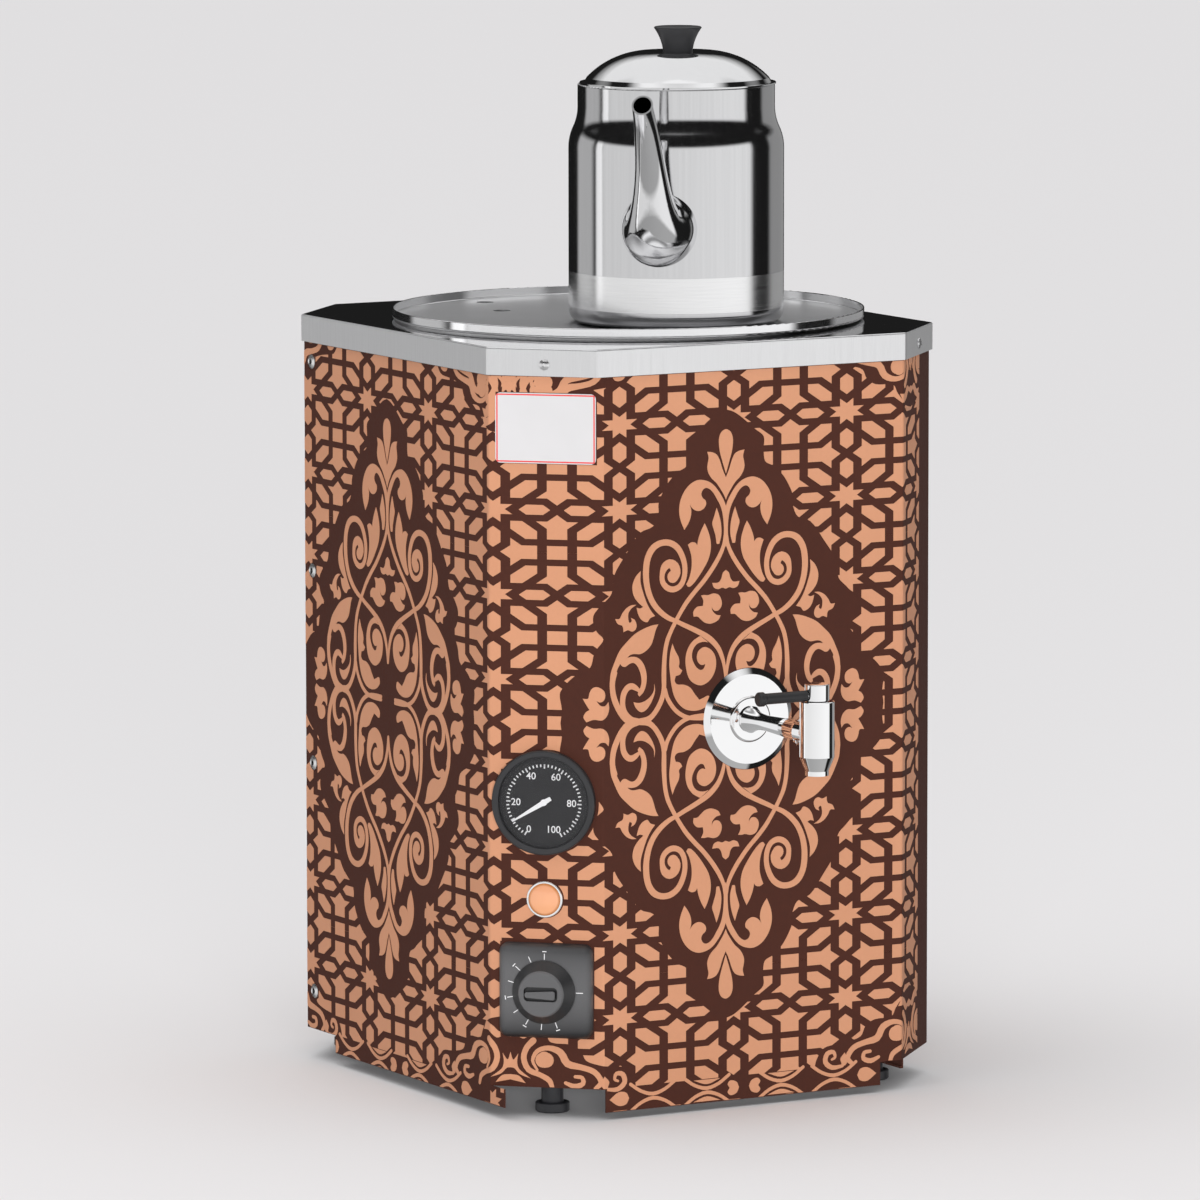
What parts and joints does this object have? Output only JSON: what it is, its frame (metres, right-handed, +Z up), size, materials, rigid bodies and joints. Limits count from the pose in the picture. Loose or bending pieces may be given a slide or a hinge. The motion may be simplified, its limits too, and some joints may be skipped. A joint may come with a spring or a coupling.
{
  "type": "tea urn",
  "caption": "Octagonal tea urn with a patterned sheet casing, a lever tap, a dial thermometer, a thermostat knob, a lamp, and a metal teapot on its lid tray.",
  "frame": {"origin": "on the standing surface, below the middle of the whole object's box", "axes": "+Z up, -Y out of the face with the tap, +X to the right of someone facing the tap"},
  "size_m": [0.3, 0.4294, 0.6252],
  "materials": {
    "casing_print": "copper-coloured relief print on steel sheet, silk",
    "collar_steel": "fine brushed edge, dark polished top",
    "polished_steel": "polished",
    "brushed_steel": "brushed",
    "tank_steel": "satin",
    "zinc_steel": "zinc plated",
    "chrome": "bright plated",
    "brass": "plain turned",
    "copper": "drawn copper",
    "black_plastic": "fine grained black",
    "bakelite": "moulded black",
    "grip_sleeve": "dull black sleeve",
    "dial_face": "black with white print",
    "pointer_white": "white",
    "clear_cover": "clear",
    "lamp_amber": "amber lens",
    "badge_white": "white with a red border",
    "rubber": "moulded",
    "ceramic": "unglazed",
    "nylon": "moulded nylon"
  },
  "bodies": {
    "urn": {"front_casing": "casing_print", "rear_casing": "casing_print", "top_collar": "collar_steel", "collar_screws": "zinc_steel", "seam_rivets": "zinc_steel", "base_plate": "tank_steel", "feet": "black_plastic", "foot_screws": "zinc_steel", "tank": "tank_steel", "tank_bottom": "tank_steel", "heating_element": "tank_steel", "element_bushes": "brass", "element_nuts": "brass", "bulb_sheath": "tank_steel", "thermometer_bulb": "copper", "thermostat_bulb": "copper", "tap_body": "chrome", "tap_spindle_bush": "nylon", "tap_rosette": "chrome", "tap_nuts": "brass", "tap_gasket": "rubber", "thermometer_case": "bakelite", "thermometer_dial": "dial_face", "thermometer_glass": "clear_cover", "thermometer_clamp": "black_plastic", "lamp_holder": "chrome", "lamp_lens": "lamp_amber", "lamp_nut": "nylon", "thermostat_plate": "black_plastic", "thermostat_body": "bakelite", "thermostat_screws": "zinc_steel", "badge_plate": "badge_white", "cable_gland": "nylon", "terminal_block": "ceramic", "earth_stud": "brass", "thermal_cutout": "bakelite"},
    "tray": {"tray_lid": "polished_steel", "tray_ring": "tank_steel"},
    "teapot": {"teapot_base": "polished_steel", "teapot_body": "polished_steel", "teapot_spout": "polished_steel", "teapot_handle": "bakelite", "handle_brackets": "brushed_steel"},
    "pot_lid": {"teapot_lid": "polished_steel", "lid_knob": "bakelite", "knob_screw": "zinc_steel"},
    "tap_key": {"tap_plug": "chrome", "tap_cap": "chrome", "tap_lever": "chrome", "lever_grip": "grip_sleeve"},
    "thermostat_dial": {"thermostat_knob": "black_plastic", "thermostat_shaft": "zinc_steel"},
    "pointer": {"thermometer_pointer": "pointer_white"}
  },
  "joints": [
    {"name": "tray_lift", "type": "slide", "parent": "urn", "child": "tray", "axis": [0, 0, 1], "range_m": [0, 0.2]},
    {"name": "teapot_lift", "type": "slide", "parent": "tray", "child": "teapot", "axis": [0, 0, 1], "range_m": [0, 0.12]},
    {"name": "pot_lid_lift", "type": "slide", "parent": "teapot", "child": "pot_lid", "axis": [0, 0, 1], "range_m": [0, 0.08]},
    {"name": "tap_turn", "type": "hinge", "parent": "urn", "child": "tap_key", "pos_m": [-0.0025, -0.2046, 0.2286], "axis": [0, 0, 1], "range_deg": [0, 90]},
    {"name": "thermostat_turn", "type": "hinge", "parent": "urn", "child": "thermostat_dial", "pos_m": [-0.11477, -0.09291, 0.0755], "axis": [-0.6713, -0.7412, 0], "range_deg": [-180, 110]},
    {"name": "pointer_turn", "type": "hinge", "parent": "urn", "child": "pointer", "pos_m": [-0.12164, -0.09871, 0.1854], "axis": [-0.6713, -0.7412, 0], "range_deg": [-270, 30]}
  ]
}
